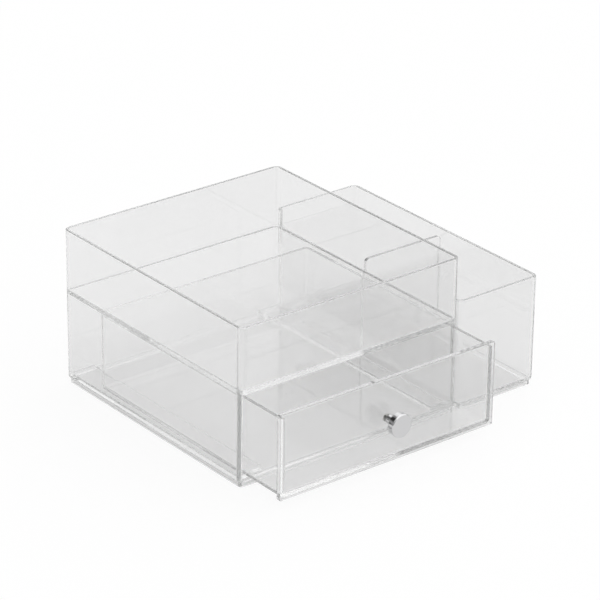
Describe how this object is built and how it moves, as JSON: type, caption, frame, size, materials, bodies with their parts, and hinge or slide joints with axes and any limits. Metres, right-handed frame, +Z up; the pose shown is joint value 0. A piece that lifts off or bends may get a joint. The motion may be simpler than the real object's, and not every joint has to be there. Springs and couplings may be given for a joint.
{
  "type": "makeup organizer",
  "caption": "Clear plastic makeup organizer with an open top tray, a sliding drawer with a chrome knob, and a lower divided bin along its right side.",
  "frame": {"origin": "on the table, under the middle of the whole object's box with the drawer as far out as it is stored", "axes": "+Z up, -Y towards the front where the drawer pulls out, +X towards the side bin"},
  "size_m": [0.2256, 0.2204, 0.1016],
  "materials": {
    "clear_plastic": "clear moulded polystyrene, polished",
    "chrome_plate": "bright chrome plate",
    "plated_steel": "bright zinc plate"
  },
  "bodies": {
    "cabinet": {"housing": "clear_plastic", "side_bin": "clear_plastic", "bin_divider": "clear_plastic"},
    "drawer": {"drawer": "clear_plastic", "knob": "chrome_plate", "knob_screw": "plated_steel"}
  },
  "joints": [
    {"name": "drawer_slide", "type": "slide", "parent": "cabinet", "child": "drawer", "axis": [0, -1, 0], "range_m": [-0.0315, 0.1]}
  ]
}
